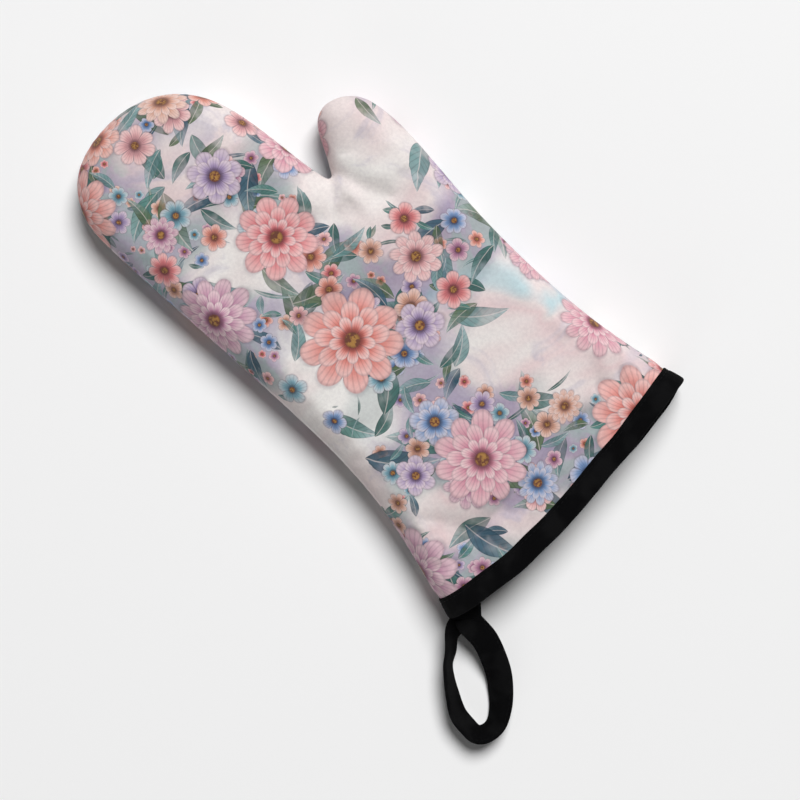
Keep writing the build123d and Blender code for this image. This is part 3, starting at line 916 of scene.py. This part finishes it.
loopWay, loopSide = headed(hangLoop["heading"])
stationPts = np.array([
    [*(np.array(hangLoop["root"]) + (loopWay * a + loopSide * b) / 1000), z / 1000,
     math.radians(tilt) * hangLoop["tiltReach"]]
    for a, b, z, tilt in hangLoop["stations"]
])
smoothPath = throughPoints(stationPts, 7)


def tapeAlong(name, path, tilts, width, thick):
    run = unit(np.gradient(path, axis=0))
    level = unit(np.column_stack([run[:, :2], np.zeros(len(run))]))
    outward = np.column_stack([level[:, 1], -level[:, 0], np.zeros(len(run))])
    across = outward * np.cos(tilts)[:, None] + np.array([0, 0, 1]) * np.sin(tilts)[:, None]
    across = unit(across - run * (across * run).sum(1)[:, None])
    face = np.cross(run, across)
    w, t = width / 2, thick / 2
    section = [(w, 0), (w - 0.2 * t, 0.62 * t), (w - 0.8 * t, t), (0.55 * w, 0.96 * t), (0, 0.9 * t),
               (-0.55 * w, 0.96 * t), (-w + 0.8 * t, t), (-w + 0.2 * t, 0.62 * t)]
    section += [(-a, -b) for a, b in section]
    lines = [path + across * a + face * b for a, b in section]
    return tapeMesh(name, lines, closedAlong=False), across, face


piece, loopAcross, loopFace = tapeAlong(
    "hanging_loop_tape", smoothPath[:, :3], smoothPath[:, 3] / hangLoop["tiltReach"],
    hangLoop["width"], hangLoop["thick"])
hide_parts("hanging_loop")
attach(piece, "loop")
print("loop bent round")

tail = {"from": 0.0013, "to": 0.0163, "height": 0.013, "points": 8, "width": 0.0175, "thick": 0.0038}
tailRun = np.linspace(tail["from"], tail["to"], tail["points"])
tailPath = np.column_stack([np.array(hangLoop["root"]) - np.outer(tailRun, loopWay),
                            np.full(tail["points"], tail["height"])])
piece = tapeAlong("loop_tail_tape", tailPath, np.zeros(tail["points"]), tail["width"], tail["thick"])[0]
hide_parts("loop_tail")
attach(piece, "palm")


# stitches: one small thread mesh repeated along a path
def stitchTree():
    group = bpy.data.node_groups.new("stitchRow", "GeometryNodeTree")
    face = group.interface
    face.new_socket("Geometry", in_out="INPUT", socket_type="NodeSocketGeometry")
    ids = {}
    for name, kind in (("Pitch", "Float"), ("Length", "Float"), ("Thread", "Float"), ("Seed", "Int"),
                       ("Material", "Material")):
        ids[name] = face.new_socket(name, in_out="INPUT", socket_type="NodeSocket" + kind).identifier
    face.new_socket("Geometry", in_out="OUTPUT", socket_type="NodeSocketGeometry")
    kinds = {
        "start": "NodeGroupInput", "curve": "GeometryNodeMeshToCurve", "even": "GeometryNodeResampleCurve",
        "ball": "GeometryNodeMeshUVSphere", "size": "ShaderNodeCombineXYZ", "shape": "GeometryNodeTransform",
        "up": "GeometryNodeInputNamedAttribute", "tangent": "GeometryNodeInputTangent",
        "alignZ": "FunctionNodeAlignRotationToVector", "alignX": "FunctionNodeAlignRotationToVector",
        "vary": "FunctionNodeRandomValue", "spread": "GeometryNodeInstanceOnPoints",
        "real": "GeometryNodeRealizeInstances", "cover": "GeometryNodeSetMaterial", "end": "NodeGroupOutput",
    }
    nodes = {word: group.nodes.new(kind) for word, kind in kinds.items()}
    nodes["even"].mode = "LENGTH"
    for name, value in (("Segments", 6), ("Rings", 5), ("Radius", 0.5)):
        nodes["ball"].inputs[name].default_value = value
    nodes["up"].data_type = "FLOAT_VECTOR"
    nodes["up"].inputs["Name"].default_value = "faceWay"
    nodes["alignZ"].axis, nodes["alignX"].axis, nodes["alignX"].pivot_axis = "Z", "X", "Z"
    nodes["vary"].data_type = "FLOAT"
    nodes["vary"].inputs[2].default_value, nodes["vary"].inputs[3].default_value = 0.9, 1.06   # least, most
    links = [
        ("start", "Geometry", "curve", "Mesh"), ("curve", "Curve", "even", "Curve"),
        ("start", "Pitch", "even", "Length"), ("start", "Length", "size", "X"),
        ("start", "Thread", "size", "Y"), ("start", "Thread", "size", "Z"),
        ("ball", "Mesh", "shape", "Geometry"), ("size", "Vector", "shape", "Scale"),
        ("up", "Attribute", "alignZ", "Vector"), ("alignZ", "Rotation", "alignX", "Rotation"),
        ("tangent", "Tangent", "alignX", "Vector"), ("even", "Curve", "spread", "Points"),
        ("shape", "Geometry", "spread", "Instance"), ("alignX", "Rotation", "spread", "Rotation"),
        ("start", "Seed", "vary", "Seed"), ("vary", 1, "spread", "Scale"),
        ("spread", "Instances", "real", "Geometry"), ("real", "Geometry", "cover", "Geometry"),
        ("start", "Material", "cover", "Material"), ("cover", "Geometry", "end", "Geometry"),
    ]
    for a, out, b, into in links:
        group.links.new(nodes[a].outputs[out], nodes[b].inputs[into])
    return group, ids


stitchGroup, stitchIds = stitchTree()


def stitchRows(name, paths, facts):
    verts, edges, ways = [], [], []
    for points, up in paths:
        first = len(verts)
        verts += points.tolist()
        ways += up.tolist()
        edges += [(first + k, first + k + 1) for k in range(len(points) - 1)]
    mesh = built(name, verts, [], edges)
    faceWay = mesh.attributes.new("faceWay", "FLOAT_VECTOR", "POINT")
    faceWay.data.foreach_set("vector", np.array(ways, np.float32).ravel())
    obj = keep(name, mesh)
    modifier = obj.modifiers.new("stitches", "NODES")
    modifier.node_group = stitchGroup
    for word in ("Pitch", "Length", "Thread", "Seed"):
        modifier[stitchIds[word]] = facts[word.lower()]
    modifier[stitchIds["Material"]] = blackThread
    obj.update_tag()
    done = bpy.data.meshes.new_from_object(worked(obj))
    obj.modifiers.remove(modifier)
    obj.data = done
    done.name = name
    done.polygons.foreach_set("use_smooth", [True] * len(done.polygons))
    return obj


topstitch = {
    "fromRim": 0.011, "outside": 0.00022, "inside": 0.0066,   # depth of each row below the outer face
    "pitch": 0.0031, "length": 0.0027, "thread": 0.00055, "seed": 3, "lowest": 0.0001,
}


def ringWays(depth, sign):
    ring = mouthRing(topstitch["fromRim"], depth)
    ways = unit((ring - mouthRing(topstitch["fromRim"], depth + 0.0006)) * sign)
    ring[:, 1] += sway(ring)
    closed = np.vstack([ring, ring[:1]])
    closed[:, 2] = np.maximum(closed[:, 2], topstitch["lowest"])
    return closed, np.vstack([ways, ways[:1]])


ringPaths = [ringWays(topstitch["outside"], 1), ringWays(topstitch["inside"], -1)]
piece = stitchRows("binding_topstitch", ringPaths, topstitch)
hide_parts("binding_thread")
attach(piece, "palm")

loopStitch = {
    "fromEdge": 0.0018, "sunk": 0.00003, "pitch": 0.003, "length": 0.0026, "thread": 0.0005, "seed": 5,
    "rootClear": 16,   # path points left bare, so the root clears the binding when the loop swings
}
middle = slice(loopStitch["rootClear"], len(smoothPath) - loopStitch["rootClear"])
edgePaths = []
for edgeSign in (1, -1):
    for faceSign in (1, -1):
        off = loopAcross * edgeSign * (hangLoop["width"] / 2 - loopStitch["fromEdge"])
        high = loopFace * faceSign * (hangLoop["thick"] / 2 - loopStitch["sunk"])
        edgePaths.append(((smoothPath[:, :3] + off + high)[middle], (loopFace * faceSign)[middle]))
piece = stitchRows("loop_stitches", edgePaths, loopStitch)
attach(piece, "loop")
print("stitches laid")

# floor, light and camera
studio = {
    "floor": 0.93, "floorHalf": 4, "floorAt": -0.0004, "world": 0.065,
    "key": {"place": (3.74, 1.70, 6.06), "size": 4.0, "watts": 584},
    "lowFill": {"place": (-1.87, -0.85, 0.5), "size": 1.6, "watts": 7},
    "centre": (-0.0254, -0.0270), "turn": -45.6, "distance": 1.2, "across": 0.44, "midHeight": 0.016,
}
half, low = studio["floorHalf"], studio["floorAt"]
corners = [(-half, -half, low), (half, -half, low), (half, half, low), (-half, half, low)]
mesh = built("floor", corners, [(0, 1, 2, 3)])
floorPaint, shader = newCloth("floorPaint", 0.95, 0.0, gloss=0.0)
shader.inputs["Base Color"].default_value = (studio["floor"],) * 3 + (1,)
mesh.materials.append(floorPaint)
floor = keep("floor", mesh)

world = bpy.data.worlds.new("studio")
world.use_nodes = True
scene.world = world
tree = world.node_tree
rays = put("LightPath")
seen = calc("MAXIMUM", rays["Is Camera Ray"], rays["Is Glossy Ray"])
seen = calc("MAXIMUM", seen, rays["Is Transmission Ray"])
backdrop = tree.nodes["Background"]
feed(backdrop.inputs["Color"], (1, 1, 1, 1))
feed(backdrop.inputs["Strength"], timesAdd(seen, studio["floor"] - studio["world"], studio["world"]))
for name in ("key", "lowFill"):
    facts = studio[name]
    lamp = bpy.data.lights.new(name, "AREA")
    lamp.shape = "DISK"
    lamp.size = facts["size"]
    lamp.energy = facts["watts"]
    light = keep(name, lamp)
    light.visible_camera = False
    light.location = facts["place"]
    light.rotation_euler = (-Vector(facts["place"])).to_track_quat("-Z", "Y").to_euler()

lens = bpy.data.cameras.new("camera")
lens.sensor_width = 36
lens.lens = 36 * studio["distance"] / studio["across"]
camera = keep("camera", lens)
camera.location = (*studio["centre"], studio["distance"] + studio["midHeight"])
camera.rotation_euler = (0, 0, math.radians(studio["turn"]))
scene.camera = camera
print("studio set")
